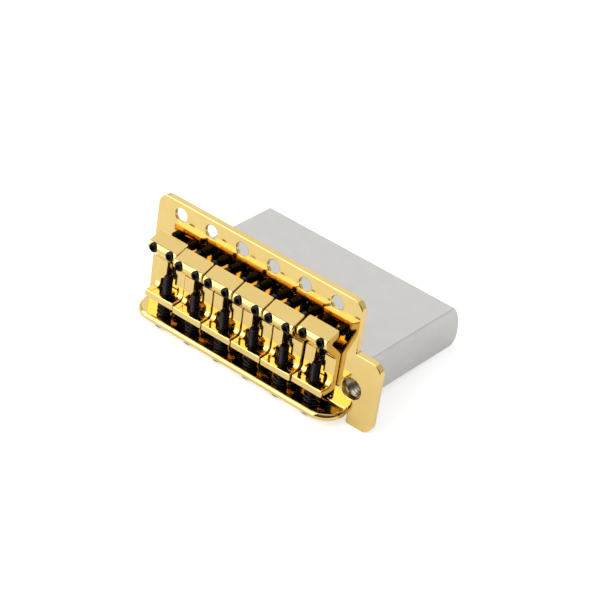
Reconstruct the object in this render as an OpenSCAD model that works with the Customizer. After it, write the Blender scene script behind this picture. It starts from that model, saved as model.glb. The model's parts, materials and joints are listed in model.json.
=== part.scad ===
// Six-saddle guitar tremolo bridge, lying the way it is photographed:
// X runs along the row of saddles towards the arm side, Y runs from the saddles into the block,
// Z runs from the rear flange up to the pivot holes. Heights of the saddle parts are counted
// from the front face of the base plate towards -Y. The origin is the middle of the pivot row.

/* [Base plate] */
// Distance between neighbouring pivot holes
pivot_pitch = 11.2; // [10.6:0.1:11.6]
// Diameter of a pivot hole
pivot_hole_d = 4.2; // [3.4:0.1:4.8]
// Bevel round the back of a pivot hole
pivot_bevel = 1.5; // [0.8:0.1:1.6]
// Thickness of the plate's sheet
plate_t = 2.2; // [1.8:0.1:2.8]
// Plate beyond the outer pivot holes, to each side
plate_side = 8.5; // [7:0.5:10]
// Plate above the row of pivot holes
plate_top = 3.9; // [3.6:0.1:6]
// Radius of the plate's upper corners
plate_corner_r = 3.8; // [2:0.2:5]
// Distance from the pivot holes down to the top edge of the arm tab
tab_drop = 11.9; // [9:0.5:15]
// Arm tab beyond the axis of the arm hole
tab_side = 8.5; // [7:0.5:11]
// Radius of the tab's corners
tab_corner_r = 3.4; // [2:0.2:5]
// Radius in the inner corner between plate and tab
tab_notch_r = 0.9; // [0.5:0.1:2]
// Arm tab below the underside of the rear flange
tab_below = 1.5; // [0.8:0.1:2]
// Rear flange in front of the plate
flange_depth = 7.7; // [7:0.1:10]
// Radius of the flange's front corners
flange_corner_r = 6.4; // [4:0.2:6.6]
// Radius inside the bend of the flange
bend_r = 1.0; // [0.8:0.1:1.5]
// Width of the relief cut between the flange and the arm tab
relief_w = 0.4; // [0.3:0.1:1.2]

/* [Arm socket] */
// Arm hole axis beyond the side edge of the plate
arm_out = 0.5; // [0:0.1:2]
// Arm hole axis below the row of pivot holes
arm_drop = 23.2; // [21.5:0.1:24]
// Diameter of the arm hole in the plate
arm_hole_d = 6.4; // [5.8:0.1:7]
// Tapping diameter of the threaded arm bush
arm_thread_d = 5.0; // [4:0.1:5.2]
// Outer diameter of the arm bush
arm_bush_d = 8.8; // [8:0.1:10]
// Length of the arm bush
arm_bush_l = 5.0; // [4:0.5:8]

/* [Block] */
// Block beyond the axis of the outer string on the bass side
block_bass = 4.0; // [3.6:0.1:8]
// Block beyond the axis of the arm hole
block_past_arm = 0.5; // [-2:0.1:1]
// Distance from the pivot holes down to the block's upper face
block_drop = 16.0; // [15:0.1:16.4]
// Thickness of the block
block_t = 13.8; // [13:0.1:16]
// Depth of the block behind the plate
block_depth = 47.2; // [36:0.5:50]
// Radius of the block's rounded far face
block_far_r = 13.0; // [12:0.5:20]
// Radius of the block's lower far edge
block_edge_r = 3.0; // [1:0.5:3]
// Radius of the block's corners seen from above
block_corner_r = 1.2; // [0.5:0.1:3]
// Diameter of a claw spring hole
claw_hole_d = 2.7; // [2.2:0.1:3.2]
// Depth of a claw spring hole
claw_hole_l = 9.0; // [6:0.5:12]
// Distance between neighbouring claw spring holes
claw_pitch = 11.0; // [9:0.5:13]
// Claw spring holes above the block's lower face
claw_up = 4.3; // [4:0.1:5]

/* [Strings] */
// Distance between neighbouring strings
string_pitch = 10.8; // [10.4:0.1:11]
// Diameter of a string hole
string_hole_d = 3.2; // [2.4:0.1:3.4]
// Diameter of the bore for a string's ball end
ball_bore_d = 5.5; // [4.5:0.1:5.8]
// Block between the plate and the seat of a ball end
ball_seat = 10.0; // [8:0.5:14]
// String holes below the row of pivot holes
string_drop = 19.6; // [19.4:0.1:20]

/* [Block screws] */
// Thread diameter of a block screw
block_screw_d = 4.0; // [3:0.5:4]
// Head diameter of a block screw
block_screw_head_d = 7.4; // [6:0.2:7.6]
// Length of a block screw, head included
block_screw_l = 13.0; // [10:0.5:16]
// Block screws below the row of pivot holes
block_screw_drop = 24.6; // [24:0.1:25]

/* [Saddles] */
// Gap between neighbouring saddles
saddle_gap = 0.3; // [0.2:0.1:0.6]
// Thickness of a saddle's sheet
sheet_t = 2.2; // [1.8:0.1:2.4]
// Gap between an outer saddle and the plate
saddle_clear = 0.3; // [0.2:0.1:0.6]
// Axis of the height screws below the row of pivot holes
break_drop = 8.5; // [7.5:0.1:9.5]
// Saddle from the axis of its height screws back to the rear of its tab
saddle_l = 17.4; // [17:0.1:19]
// Height of a saddle's crown
crown_h = 8.1; // [7.6:0.1:9]
// Radius of the crown
crown_r = 1.3; // [1.1:0.1:1.6]
// Wall of the crown in front of the height screws
crown_wall = 0.25; // [0.2:0.05:0.5]
// Slope of the nose from the upright
nose_angle = 14; // [10:1:18]
// Slope of the riser from the upright
riser_angle = 45; // [40:1:47]
// Height of the nose's lip
lip_h = 2.8; // [2.4:0.1:3.6]
// Radius of the lip's corners
lip_corner_r = 1.3; // [0.6:0.1:2]
// Height of a saddle's rear tab
tab_h = 6.8; // [6.4:0.1:8]
// Width of the string slot's neck
slot_neck_w = 3.0; // [2.9:0.1:3.4]
// Width of the string slot beside the intonation screw
slot_wide_w = 6.6; // [5:0.2:7]
// Length of the wide part of the string slot
slot_wide_l = 3.0; // [2:0.1:3.5]
// Reach of the string slot up the riser, beyond the crease
slot_up = 1.1; // [0.4:0.1:1.6]
// Lift of the four inner saddles at their height screws
inner_lift = 1.35; // [0.4:0.05:2]

/* [Screws and springs] */
// Thread diameter of a height screw
height_screw_d = 2.9; // [2.4:0.1:3]
// Distance between the two height screws of a saddle
height_screw_pitch = 6.1; // [5.6:0.1:6.6]
// Height screw standing out of the crown
height_screw_out = 0.3; // [0.1:0.1:0.8]
// Size across the flats of the hexagon socket
socket_w = 1.5; // [1.2:0.1:1.6]
// Depth of the hexagon socket
socket_l = 1.6; // [1:0.1:2.5]
// Gap between a height screw's point and the plate
point_gap = 0.3; // [0.25:0.05:0.35]
// Thread diameter of an intonation screw
tone_screw_d = 2.8; // [2.4:0.1:2.9]
// Intonation screw's axis above the face of the saddle
tone_axis_up = 0.9; // [0.8:0.1:1.4]
// Intonation screw beyond the saddle's tab
tone_tip = 5.4; // [4.5:0.1:5.8]
// Diameter of an intonation screw's head
tone_head_d = 5.0; // [4.6:0.1:5.6]
// Height of an intonation screw's head
tone_head_l = 1.4; // [1.2:0.1:2]
// Play of an intonation screw in the flange, on the radius
tone_play = 0.3; // [0.25:0.05:0.4]
// Gap between an intonation screw's head and the flange
head_gap = 0.35; // [0.3:0.05:0.5]
// Space between a saddle's tab and the flange, which the spring fills
spring_space = 4.9; // [4.8:0.1:7]
// Wire diameter of a spring
spring_wire = 0.7; // [0.5:0.05:0.75]
// Gap between a spring and what it touches
spring_gap = 0.15; // [0.1:0.05:0.2]
// Number of turns of a spring
spring_turns = 2.5; // [2:0.5:3]
// Clearance of a thread, on the radius
thread_gap = 0.05; // [0.03:0.01:0.08]

/* [Hidden] */
$fn = 48;
cut = 1; // how far a cutting tool stands past the surface that it opens

// Row of strings and saddles
STRINGS = 6;
BASS = -1; // side of a saddle's first height screw
TREBLE = 1;
pivot_reach = (STRINGS - 1) / 2 * pivot_pitch;
string_reach = (STRINGS - 1) / 2 * string_pitch;
function row_x(n, pitch) = (n - (STRINGS + 1) / 2) * pitch;

// Base plate
plate_x = pivot_reach + plate_side;
arm_x = plate_x + arm_out;
tab_x = arm_x + tab_side;
saddle_back = -break_drop - saddle_l; // rear of a saddle's tab
flange_z = saddle_back - spring_space; // upper face of the flange
flange_low = flange_z - plate_t;
tab_low = flange_low - tab_below;
relief_top = flange_z + bend_r; // where the bend begins and the relief cut ends
flange_r = min(flange_corner_r, flange_depth - bend_r);
bevel_depth = min(pivot_bevel, plate_t - 0.6, plate_top - pivot_hole_d / 2 - 0.3);

// Saddle profile, with places as [distance above the height screws' axis, height above the plate]
main_h = saddle_clear + sheet_t;
tone_h = main_h + tone_axis_up;
saddle_w = string_pitch - saddle_gap;
height_hole_r = height_screw_d / 2 + thread_gap;
crown_centre = [height_hole_r + crown_wall - crown_r * cos(nose_angle), crown_h - crown_r];
nose_top = crown_centre + crown_r * [cos(nose_angle), sin(nose_angle)];
lip = nose_top + (nose_top[1] - lip_h) * [tan(nose_angle), -1];
lip_in = lip - sheet_t * [cos(nose_angle), sin(nose_angle)];
riser_top = crown_centre + crown_r * [-cos(riser_angle), sin(riser_angle)];
crease = riser_top - (riser_top[1] - main_h) * [tan(riser_angle), 1];
riser_in = crease + sheet_t * [cos(riser_angle), -sin(riser_angle)];
// where the inner faces of nose and riser meet, and where the riser's meets the saddle's underside
apex_h = (lip_in[0] - riser_in[0] + lip_in[1] * tan(nose_angle) + riser_in[1] * tan(riser_angle))
    / (tan(nose_angle) + tan(riser_angle));
apex = [lip_in[0] - (apex_h - lip_in[1]) * tan(nose_angle), apex_h];
riser_foot = [riser_in[0] - (riser_in[1] - saddle_clear) * tan(riser_angle), saddle_clear];
tab_in = sheet_t - saddle_l; // the tab's face towards the crown
tab_round_r = 0.5;
crown_proud = 0.02; // the crown's round stands this much past riser and nose, so that they cross
tab_bend_r = 0.8 * sheet_t;

// Tilt of the inner saddles about the middle of the flange, where their screws hinge
hinge_z = flange_z - plate_t / 2;
hinge_to_break = -break_drop - hinge_z;
inner_tilt = atan(inner_lift / hinge_to_break);
function is_inner(n) = n > 1 && n < STRINGS;
function tilt(n) = is_inner(n) ? inner_tilt : 0;

// Screws
height_screw_l = crown_h + height_screw_out - point_gap;
// how much longer an inner height screw is, to stand on the plate from its tilted saddle
inner_reach = (hinge_to_break * sin(inner_tilt) + (tone_h - point_gap) * (1 - cos(inner_tilt)))
    / cos(inner_tilt);
function height_screw_len(n) = height_screw_l + (is_inner(n) ? inner_reach : 0);
height_point_r = 0.4 * height_screw_d / 2;
height_point_l = 0.6;
tone_tip_z = saddle_back + sheet_t + tone_tip;
tone_tip_chamfer = 0.3;
cross_w = 0.8;
cross_depth = 1.2;
tone_cross_depth = min(cross_depth, tone_head_l - 0.4);

// Spring, an open helix whose ends run straight for one wire diameter
RINGS_PER_TURN = 8;
WIRE_SIDES = 6;
spring_r = tone_screw_d / 2 + spring_gap + spring_wire / 2;
spring_low = flange_z + spring_gap;
spring_high = saddle_back - spring_gap;
coil_low = spring_low + spring_wire;
coil_high = spring_high - spring_wire;
spring_rings = round(RINGS_PER_TURN * spring_turns);
spring_step = 360 * spring_turns / spring_rings;
coil_path = [
    for (k = [0 : spring_rings]) [
        spring_r * cos(k * spring_step), spring_r * sin(k * spring_step),
        coil_low + (coil_high - coil_low) * k / spring_rings
    ]
];
spring_path = concat(
    [coil_path[0] - [0, 0, spring_wire]], coil_path, [coil_path[spring_rings] + [0, 0, spring_wire]]
);
// least gap between stretches of the wire that are half a turn or more apart
spring_self_gap = min([
    for (a = [0 : len(spring_path) - 1], b = [a + RINGS_PER_TURN / 2 : len(spring_path) - 1])
        if (b < len(spring_path)) norm(spring_path[a] - spring_path[b])
]) - spring_wire;
echo(spring_least_gap_to_itself_mm = spring_self_gap);

// Block
block_front = plate_t;
block_far = plate_t + block_depth;
block_high = -block_drop;
block_low = -block_drop - block_t;
block_left = -string_reach - block_bass;
block_right = arm_x + block_past_arm;
claw_z = block_low + claw_up;
CLAW_HOLES = 5;
claw_span = (CLAW_HOLES - 1) * claw_pitch;

// Colours
GOLD = [0.87, 0.69, 0.31];
ZINC = [0.72, 0.71, 0.69];
BLACK = [0.13, 0.12, 0.13];
NICKEL = [0.55, 0.52, 0.48];

// Extrudes a shape drawn in X and Z from depth y0 to depth y1
module along_y(y0, y1) {
    translate([0, y1, 0]) rotate([90, 0, 0]) linear_extrude(y1 - y0) children();
}

// Extrudes a shape drawn in Y and Z over a width that is centred on X = 0
module across(width) {
    translate([-width / 2, 0, 0]) rotate([90, 0, 90]) linear_extrude(width) children();
}

// A round bar along Y from depth y0 to depth y1
module bar_y(d, y0, y1, d_end = undef) {
    translate([0, y0, 0]) rotate([-90, 0, 0])
        cylinder(h = y1 - y0, d1 = d, d2 = is_undef(d_end) ? d : d_end);
}

// A flat rectangle from corner a to corner b with a radius for each corner,
// listed as lower left, lower right, upper right, upper left
module rounded_rect(a, b, radii) {
    corners = [a, [b[0], a[1]], b, [a[0], b[1]]];
    inward = [[1, 1], [-1, 1], [-1, -1], [1, -1]];
    difference() {
        translate(a) square(b - a);
        for (i = [0 : 3])
            if (radii[i] > 0)
                translate(corners[i] - 0.01 * inward[i])
                    corner_square(inward[i], radii[i] + 0.01);
    }
    for (i = [0 : 3])
        if (radii[i] > 0)
            translate(corners[i] + radii[i] * inward[i]) circle(radii[i]);
}

// A square that reaches from the origin in the given direction
module corner_square(direction, size) {
    translate([min(0, direction[0] * size), min(0, direction[1] * size)]) square(size);
}

// Base plate

// Pressed plate with its arm tab, seen from the front
module plate_outline() {
    rounded_rect([-plate_x, relief_top], [plate_x, plate_top],
        [0, 0, plate_corner_r, plate_corner_r]);
    rounded_rect([plate_x + relief_w, tab_low], [tab_x, -tab_drop],
        [0, tab_corner_r, tab_corner_r, 0]);
    // bridge between plate and tab, above the relief cut
    translate([plate_x - cut, relief_top]) square([relief_w + 2 * cut, -tab_drop - relief_top]);
    translate([plate_x, relief_top - relief_w / 2]) square([relief_w + cut, relief_w]);
    // fillet in the inner corner between plate and tab
    difference() {
        translate([plate_x - cut, -tab_drop - cut]) square(tab_notch_r + cut);
        translate([plate_x + tab_notch_r, -tab_drop + tab_notch_r]) circle(tab_notch_r);
    }
}

// Bend between plate and flange, drawn in Y and Z
module bend_profile() {
    intersection() {
        translate([-bend_r, flange_z + bend_r]) difference() {
            circle(bend_r + plate_t);
            circle(bend_r);
        }
        translate([-bend_r, flange_low]) square([bend_r + plate_t, bend_r + plate_t]);
    }
}

module countersink_y(d, head_d, y0) {
    bar_y(head_d, y0, y0 + (head_d - d) / 2, d);
}

module base_plate() {
    color(GOLD) difference() {
        union() {
            along_y(0, plate_t) plate_outline();
            across(2 * plate_x) bend_profile();
            translate([0, 0, flange_low]) linear_extrude(plate_t)
                rounded_rect([-plate_x, -flange_depth], [plate_x, -bend_r],
                    [flange_r, flange_r, 0, 0]);
        }
        for (n = [1 : STRINGS]) {
            translate([row_x(n, pivot_pitch), 0, 0]) {
                bar_y(pivot_hole_d, -cut, plate_t + cut);
                bar_y(pivot_hole_d, plate_t - bevel_depth, plate_t, pivot_hole_d + 2 * bevel_depth);
            }
            translate([row_x(n, string_pitch), 0, -string_drop])
                bar_y(string_hole_d, -cut, plate_t + cut);
            translate([row_x(n, string_pitch), -tone_h, flange_low - cut])
                cylinder(h = plate_t + 2 * cut, d = tone_screw_d + 2 * tone_play);
        }
        for (x = block_screw_places) translate([x, 0, -block_screw_drop]) {
            bar_y(block_screw_d + 2 * thread_gap, -cut, plate_t + cut);
            countersink_y(block_screw_d + 2 * thread_gap, block_screw_head_d + 2 * thread_gap, 0);
        }
        translate([arm_x, 0, -arm_drop]) bar_y(arm_hole_d, -cut, plate_t + cut);
        translate([plate_x + relief_w / 2, 0, relief_top - relief_w / 2])
            bar_y(relief_w, -cut, plate_t + cut);
    }
}

// Block with everything that is bored in it

block_screw_places = [row_x(1.5, string_pitch), 0, row_x(STRINGS - 0.5, string_pitch)];

// Section of the block, drawn in Y and Z
module block_section() {
    intersection() {
        rounded_rect([block_front, block_low], [block_far, block_high], [0, block_edge_r, 0, 0]);
        union() {
            translate([block_far - block_far_r, claw_z]) circle(block_far_r);
            translate([block_front, block_low]) square([block_depth - block_far_r, block_t]);
        }
    }
}

module inertia_block() {
    width = block_right - block_left;
    color(ZINC) difference() {
        intersection() {
            translate([(block_left + block_right) / 2, 0, 0]) across(width) block_section();
            translate([0, 0, block_low - cut]) linear_extrude(block_t + 2 * cut)
                rounded_rect([block_left, block_front], [block_right, block_far],
                    [0, 0, block_corner_r, block_corner_r]);
        }
        for (n = [1 : STRINGS]) translate([row_x(n, string_pitch), 0, -string_drop]) {
            bar_y(string_hole_d, block_front - cut, block_front + ball_seat + cut);
            bar_y(ball_bore_d, block_front + ball_seat, block_far + cut);
        }
        for (k = [0 : CLAW_HOLES - 1])
            translate([k * claw_pitch - claw_span / 2, 0, claw_z])
                bar_y(claw_hole_d, block_far - claw_hole_l, block_far + cut);
        for (x = block_screw_places) translate([x, 0, -block_screw_drop])
            bar_y(block_screw_d + 2 * thread_gap, block_front - cut, block_screw_l + cut);
        translate([arm_x, 0, -arm_drop])
            bar_y(arm_bush_d + 2 * thread_gap, block_front - cut, block_front + arm_bush_l + thread_gap);
    }
}

module arm_bush() {
    color(NICKEL) translate([arm_x, 0, -arm_drop]) difference() {
        bar_y(arm_bush_d, plate_t, plate_t + arm_bush_l);
        bar_y(arm_thread_d, plate_t - cut, plate_t + arm_bush_l + cut);
    }
}

module block_screws() {
    color(BLACK) for (x = block_screw_places) translate([x, 0, -block_screw_drop]) difference() {
        union() {
            countersink_y(block_screw_d, block_screw_head_d, thread_gap);
            bar_y(block_screw_d, thread_gap + cut / 2, block_screw_l);
        }
        cross_recess();
    }
}

// Cross recess of a screw head that faces -Y at the origin
module cross_recess() {
    for (a = [0, 90]) rotate([0, a, 0])
        translate([-block_screw_d / 2, -cut, -cross_w / 2])
            cube([block_screw_d, cut + cross_depth, cross_w]);
}

// Saddles

// Moves a piece of string n from the plain row to its place, tilted about the flange
module seat(n) {
    translate([row_x(n, string_pitch), -tone_h, hinge_z]) rotate([tilt(n), 0, 0])
        translate([0, tone_h, -hinge_z]) children();
}

// Turns a place [distance above the height screws' axis, height] into [Y, Z]
function yz(p) = [-p[1], p[0] - break_drop];

// Bent sheet of a saddle, drawn in Y and Z
module saddle_profile() {
    translate([0, -break_drop])
        rounded_rect([-tab_h, -saddle_l], [-saddle_clear, tab_in],
            [tab_round_r, tab_bend_r, 0, tab_round_r]);
    polygon([for (p = [
        [tab_bend_r - saddle_l, saddle_clear], riser_foot, apex, lip_in, lip, nose_top,
        crown_centre, riser_top, crease, [tab_bend_r - saddle_l, main_h]
    ]) yz(p)]);
    translate(yz(crown_centre)) circle(crown_r + crown_proud);
}

// What rounds off the lip's corners, seen along Z
module lip_corners() {
    inner_x = saddle_w / 2 - lip_corner_r;
    y = -lip_in[1] - lip_corner_r;
    translate([0, 0, -break_drop]) linear_extrude(lip[0] + cut) for (side = [-1, 1]) difference() {
        translate([side > 0 ? inner_x : -inner_x - lip_corner_r - cut, y])
            square(lip_corner_r + cut);
        translate([side * inner_x, y]) circle(lip_corner_r);
    }
}

// Bottle-shaped string slot, drawn in X and Z
module slot_outline() {
    neck_end = crease[0] - break_drop + slot_up - slot_neck_w / 2;
    wide_top = tab_in - break_drop + slot_wide_l;
    translate([0, neck_end]) circle(d = slot_neck_w);
    translate([-slot_neck_w / 2, wide_top - cut / 4])
        square([slot_neck_w, neck_end - wide_top + cut / 4]);
    rounded_rect([-slot_wide_w / 2, tab_in - break_drop], [slot_wide_w / 2, wide_top],
        [0, 0, slot_round_r, slot_round_r]);
}
slot_round_r = 0.8;

module saddle(n) {
    color(GOLD) seat(n) difference() {
        across(saddle_w) saddle_profile();
        lip_corners();
        along_y(-crown_h, 0) slot_outline();
        for (side = [BASS, TREBLE]) translate([side * height_screw_pitch / 2, 0, -break_drop])
            bar_y(2 * height_hole_r, -crown_h - cut, 0);
        translate([0, -tone_h, saddle_back - cut])
            cylinder(h = sheet_t + 2 * cut, d = tone_screw_d + 2 * thread_gap);
    }
}

// Grub screw that carries a saddle on the plate
module height_screw(n, side) {
    r = height_screw_d / 2;
    l = height_screw_len(n);
    color(BLACK) seat(n)
        translate([side * height_screw_pitch / 2, -crown_h - height_screw_out, -break_drop])
        rotate([-90, 0, 0]) difference() {
            rotate_extrude() polygon([[0, 0], [r, 0], [r, l - height_point_l], [height_point_r, l], [0, l]]);
            translate([0, 0, -cut]) cylinder(h = socket_l + cut, d = socket_w / cos(30), $fn = 6);
        }
}

// Screw that sets a saddle's distance from the flange
module intonation_screw(n) {
    foot = flange_low - head_gap - tone_head_l;
    color(BLACK) seat(n) translate([0, -tone_h, foot]) difference() {
        rotate_extrude() intonation_screw_profile(tone_tip_z - foot);
        for (a = [0, 90]) rotate(a) translate([-tone_screw_d / 2, -cross_w / 2, -cut])
            cube([tone_screw_d, cross_w, tone_cross_depth + cut]);
    }
}

// Half of the section of an intonation screw, from the end of its head upwards
module intonation_screw_profile(l) {
    r = tone_screw_d / 2;
    head_r = tone_head_d / 2;
    rounding = tone_head_l / 2;
    polygon([
        [0, 0], [head_r - rounding, 0], [head_r - rounding, rounding], [head_r, rounding],
        [head_r, tone_head_l], [r, tone_head_l], [r, l - tone_tip_chamfer], [r - tone_tip_chamfer, l], [0, l]
    ]);
    intersection() {
        translate([head_r - rounding, rounding]) circle(rounding);
        square([head_r, rounding]);
    }
}

module intonation_spring(n) {
    color(BLACK) seat(n) translate([0, -tone_h, 0]) tube(spring_path, spring_wire / 2, WIRE_SIDES);
}

// Closed tube of triangles that follows a path
module tube(path, r, sides) {
    last = len(path) - 1;
    ahead = [for (k = [0 : last]) let (d = path[min(k + 1, last)] - path[max(k - 1, 0)]) d / norm(d)];
    points = [for (k = [0 : last]) each ring(path[k], ahead[k], r, sides)];
    function at(k, s) = k * sides + s % sides;
    walls = [for (k = [0 : last - 1], s = [0 : sides - 1], half = [0, 1])
        half == 0 ? [at(k, s), at(k + 1, s), at(k + 1, s + 1)] : [at(k, s), at(k + 1, s + 1), at(k, s + 1)]];
    low_end = [for (s = [1 : sides - 2]) [at(0, 0), at(0, s), at(0, s + 1)]];
    high_end = [for (s = [1 : sides - 2]) [at(last, 0), at(last, s + 1), at(last, s)]];
    polyhedron(points, concat(walls, low_end, high_end));
}

// Points of one ring, square to the path; its first point faces away from the Z axis
function ring(centre, ahead, r, sides) =
    let (away = [centre[0], centre[1], 0] / norm([centre[0], centre[1]]),
         out = (away - (away * ahead) * ahead) / norm(away - (away * ahead) * ahead),
         side = cross(ahead, out))
    [for (s = [0 : sides - 1]) centre + r * (cos(360 * s / sides) * out + sin(360 * s / sides) * side)];

base_plate();
inertia_block();
arm_bush();
block_screws();
saddle(1);  // saddle_1
saddle(2);  // saddle_2
saddle(3);  // saddle_3
saddle(4);  // saddle_4
saddle(5);  // saddle_5
saddle(6);  // saddle_6
intonation_screw(1);  // intonation_screw_1
intonation_screw(2);  // intonation_screw_2
intonation_screw(3);  // intonation_screw_3
intonation_screw(4);  // intonation_screw_4
intonation_screw(5);  // intonation_screw_5
intonation_screw(6);  // intonation_screw_6
intonation_spring(1);  // intonation_spring_1
intonation_spring(2);  // intonation_spring_2
intonation_spring(3);  // intonation_spring_3
intonation_spring(4);  // intonation_spring_4
intonation_spring(5);  // intonation_spring_5
intonation_spring(6);  // intonation_spring_6
height_screw(1, BASS);  // height_screw_1_bass
height_screw(2, BASS);  // height_screw_2_bass
height_screw(3, BASS);  // height_screw_3_bass
height_screw(4, BASS);  // height_screw_4_bass
height_screw(5, BASS);  // height_screw_5_bass
height_screw(6, BASS);  // height_screw_6_bass
height_screw(1, TREBLE);  // height_screw_1_treble
height_screw(2, TREBLE);  // height_screw_2_treble
height_screw(3, TREBLE);  // height_screw_3_treble
height_screw(4, TREBLE);  // height_screw_4_treble
height_screw(5, TREBLE);  // height_screw_5_treble
height_screw(6, TREBLE);  // height_screw_6_treble
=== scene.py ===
"""Looks of a six-saddle guitar tremolo bridge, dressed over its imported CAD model.

Every piece is built in millimetres in the frame of the part: X runs along the row of saddles
towards the arm side, Y from the saddles into the block, and Z from the rear flange towards the
pivot holes. Heights of the saddle parts are counted from the front face of the plate towards -Y.
"""

from __future__ import annotations

import json
import logging
import math
from dataclasses import dataclass, field
from enum import Enum
from functools import cache, partial
from typing import Callable, Iterable, Sequence

import bmesh
import bpy
from bmesh.types import BMesh, BMVert
from bpy.types import Material, Mesh, Node, NodeSocket, NodeTree, Object
from mathutils import Matrix, Vector
from mathutils.geometry import tessellate_polygon

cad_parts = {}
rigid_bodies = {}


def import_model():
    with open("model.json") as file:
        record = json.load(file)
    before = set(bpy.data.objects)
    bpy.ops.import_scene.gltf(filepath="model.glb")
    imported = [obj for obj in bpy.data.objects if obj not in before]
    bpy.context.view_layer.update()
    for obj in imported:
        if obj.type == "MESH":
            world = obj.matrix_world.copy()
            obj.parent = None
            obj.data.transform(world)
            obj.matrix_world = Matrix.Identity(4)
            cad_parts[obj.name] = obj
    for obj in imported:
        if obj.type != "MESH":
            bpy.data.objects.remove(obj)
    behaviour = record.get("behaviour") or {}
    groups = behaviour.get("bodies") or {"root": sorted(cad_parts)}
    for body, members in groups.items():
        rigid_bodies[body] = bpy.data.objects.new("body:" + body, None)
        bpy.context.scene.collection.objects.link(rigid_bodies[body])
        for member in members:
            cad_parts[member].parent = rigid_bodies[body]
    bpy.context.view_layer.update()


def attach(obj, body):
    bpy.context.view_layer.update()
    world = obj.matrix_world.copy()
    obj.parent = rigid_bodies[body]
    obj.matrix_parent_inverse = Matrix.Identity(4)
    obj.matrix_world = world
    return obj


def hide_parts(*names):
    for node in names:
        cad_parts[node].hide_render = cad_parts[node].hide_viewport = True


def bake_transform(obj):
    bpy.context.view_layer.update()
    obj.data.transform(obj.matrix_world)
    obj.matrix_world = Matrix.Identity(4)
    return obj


LOG = logging.getLogger("bridge")
MM = 0.001
FIXED_BODY = "bridge"
WHITE = (1.0, 1.0, 1.0, 1.0)
ALONG_Y = Matrix.Rotation(-math.pi / 2, 4, "X")
Pair = tuple[float, float]
Triple = tuple[float, float, float]

# How far a cutter stands out of what it cuts, and the hair's breadth it keeps from a face, in millimetres
CLEAR = 1.0
HAIR = 0.02

# Rows of points in each turn of a thread, sides of a round piece, and steps of a sheet's rounded edge
THREAD_ROWS = 6
SIDES = 48
EDGE_STEPS = 4


class Slot(Enum):
    """Material slot of the record that a piece takes its finish from."""

    GOLD = "gold_plate"
    BLOCK = "satin_block"
    BLACK = "black_steel"
    BUSH = "bush_steel"


class Side(Enum):
    """Side of a saddle on which a height screw sits."""

    BASS = -1
    TREBLE = 1


# Sizes


@dataclass(frozen=True)
class Recess:
    """Cross recess of a screw's head: half its span and its height at both ends, and its width."""

    top: Pair
    foot: Pair
    width: float


@dataclass(frozen=True)
class PlateSizes:
    """Bent plate with its rear flange and arm tab, in millimetres."""

    half_width: float = 36.5
    thickness: float = 2.2
    top: float = 3.9
    corner_radius: float = 3.8
    tab_top: float = -11.9
    tab_side: float = 45.5
    tab_bottom: float = -34.5
    tab_radius: float = 3.4
    notch_fillet: float = 0.9
    flange_top: float = -30.8
    flange_depth: float = 7.7
    flange_radius: float = 6.4
    bend_radius: float = 1.0
    relief_width: float = 0.4
    relief_round: float = 0.198
    relief_foot: float = 0.6
    pivot_pitch: float = 11.2
    pivot_radius: float = 2.1
    pivot_bevel: float = 1.2
    pivot_round: float = 0.25
    string_rounds: Pair = (0.2, 0.05)
    tone_rounds: Pair = (0.2, 0.2)
    arm_rounds: Pair = (0.35, 0.05)
    edge_round: float = 0.32
    flange_round: float = 0.95
    round_fade: float = 2.0


@dataclass(frozen=True)
class ArmSizes:
    """Arm hole and the threaded bush behind it, in millimetres."""

    x: float = 37.0
    z: float = -23.2
    hole_radius: float = 3.2
    bush_radius: float = 4.4
    bush_length: float = 5.0
    bush_chamfer: float = 0.3
    thread_radius: float = 3.0
    thread_pitch: float = 1.0
    thread_depth: float = 0.5


@dataclass(frozen=True)
class RowSizes:
    """Row of strings, and the tilt of the saddles about the flange, in millimetres."""

    strings: int = 6
    pitch: float = 10.8
    string_z: float = -19.6
    string_radius: float = 1.6
    axis_height: float = 3.4
    hinge_z: float = -31.9
    break_z: float = -8.5
    inner_lift: float = 1.35

    def from_middle(self, number: float) -> float:
        """How many strings a string is from the middle of the row."""
        return number - (self.strings + 1) / 2

    def x(self, number: float) -> float:
        """Place of a string along the row."""
        return self.from_middle(number) * self.pitch

    def tilt(self, number: int) -> float:
        """Tilt of a saddle at rest, in radians: the inner saddles are set higher."""
        inner = 1 < number < self.strings
        return math.atan(self.inner_lift / (self.break_z - self.hinge_z)) if inner else 0.0

    def seat(self, number: int) -> Matrix:
        """Turn and shift from the untilted middle of the row to the place of one string."""
        hinge = Vector((0.0, -self.axis_height, self.hinge_z))
        place = Matrix.Translation(hinge + Vector((self.x(number), 0.0, 0.0)))
        return place @ Matrix.Rotation(self.tilt(number), 4, "X") @ Matrix.Translation(-hinge)


@dataclass(frozen=True)
class SaddleSizes:
    """Bent-sheet saddle, in millimetres, with places counted from its height screws' axis."""

    width: float = 10.5
    sheet: float = 2.2
    underside: float = 0.3
    back: float = -17.4
    tab_height: float = 6.8
    crown_height: float = 8.1
    crown_radius: float = 1.9
    crown_wall: float = 0.25
    nose_angle: float = 17.0
    riser_angle: float = 45.0
    lip_height: float = 2.8
    lip_corner: float = 1.3
    neck_width: float = 3.0
    wide_width: float = 6.6
    wide_length: float = 3.0
    neck_fullness: float = 0.96
    slot_up: float = 1.1
    slot_flare: float = 0.22
    slot_overlap: float = 0.1
    slot_corner: float = 0.3
    slot_shoulder: float = 0.8
    slot_throat: float = 0.4
    side_round: float = 0.38
    heel_radius: float = 1.76
    foot_radius: float = 1.6
    apex_radius: float = 0.5
    lip_in_radius: float = 1.1
    lip_radius: float = 0.2
    crease_radius: float = 0.8
    tab_bend_radius: float = 1.6
    tab_in_radius: float = 0.45
    tab_radius: float = 0.3
    screw_hole: float = 1.5
    screw_pitch: float = 6.1
    tab_hole: float = 1.45
    tab_bore: Pair = (-28.0, -23.2)


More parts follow.
